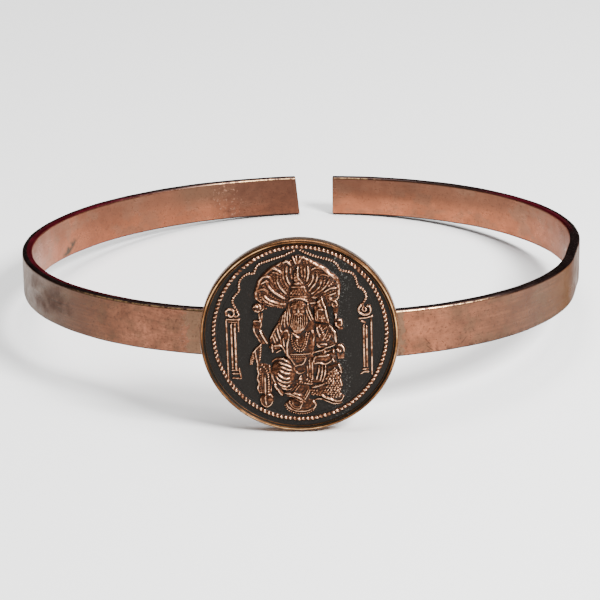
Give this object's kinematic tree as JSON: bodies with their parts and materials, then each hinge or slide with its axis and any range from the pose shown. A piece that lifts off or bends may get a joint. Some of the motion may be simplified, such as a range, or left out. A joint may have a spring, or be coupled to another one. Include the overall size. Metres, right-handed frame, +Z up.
{
  "type": "copper cuff bracelet with a struck round medallion",
  "caption": "Narrow copper cuff bent from one strip and open at the back, with a round struck medallion of seated figures on its front.",
  "frame": {"origin": "on the surface that the bracelet lies on, under the middle of its box", "axes": "+Z up from that surface, -Y the way the medallion faces, +X to the right of someone who faces the medallion"},
  "size_m": [0.0646, 0.0671, 0.0202],
  "materials": {
    "copper_strip": "satin copper with tarnish and fine scratches",
    "struck_copper": "struck copper, dark patina in the field, bright on the ridges"
  },
  "bodies": {
    "root": {"strip": "copper_strip", "medallion": "struck_copper"}
  },
  "joints": []
}
